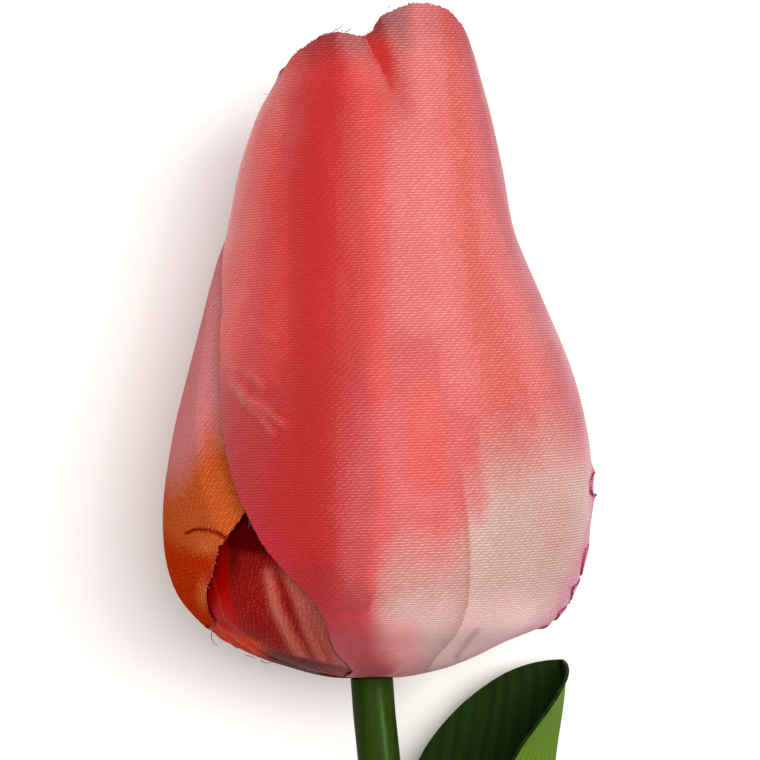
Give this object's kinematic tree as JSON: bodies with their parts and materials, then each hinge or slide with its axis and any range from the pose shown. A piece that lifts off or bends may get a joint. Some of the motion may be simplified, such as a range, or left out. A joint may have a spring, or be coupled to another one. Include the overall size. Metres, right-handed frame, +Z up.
{
  "type": "artificial tulip with satin petals",
  "caption": "Single lying tulip stem with a closed bud of overlapping satin petals and a folded green leaf.",
  "frame": {"origin": "centre of the bounding box, on the surface that the flower lies on", "axes": "+Y along the flower from the cut end of the stem to the tip of the bud, +X to the right when looking down on its front, +Z up"},
  "size_m": [0.0444, 0.3392, 0.0401],
  "materials": {
    "satin_outer": "polyester satin, dyed coral red running to cream, with frayed cut edges",
    "satin_inner": "polyester satin, dyed orange and dark red",
    "cap_plastic": "moulded polyethylene, natural colour",
    "stem_plastic": "moulded polyethylene, semi-gloss green",
    "steel_wire": "drawn steel wire",
    "leaf_cloth": "coated polyester cloth, printed green"
  },
  "bodies": {
    "root": {"petal_front": "satin_outer", "petal_right": "satin_outer", "petal_left": "satin_outer", "inner_petal_left": "satin_inner", "inner_petal_right": "satin_inner", "inner_petal_back": "satin_inner", "petal_cap": "cap_plastic", "stem_tube": "stem_plastic", "stem_wire": "steel_wire", "leaf_sheath": "stem_plastic", "leaf_blade": "leaf_cloth"}
  },
  "joints": []
}
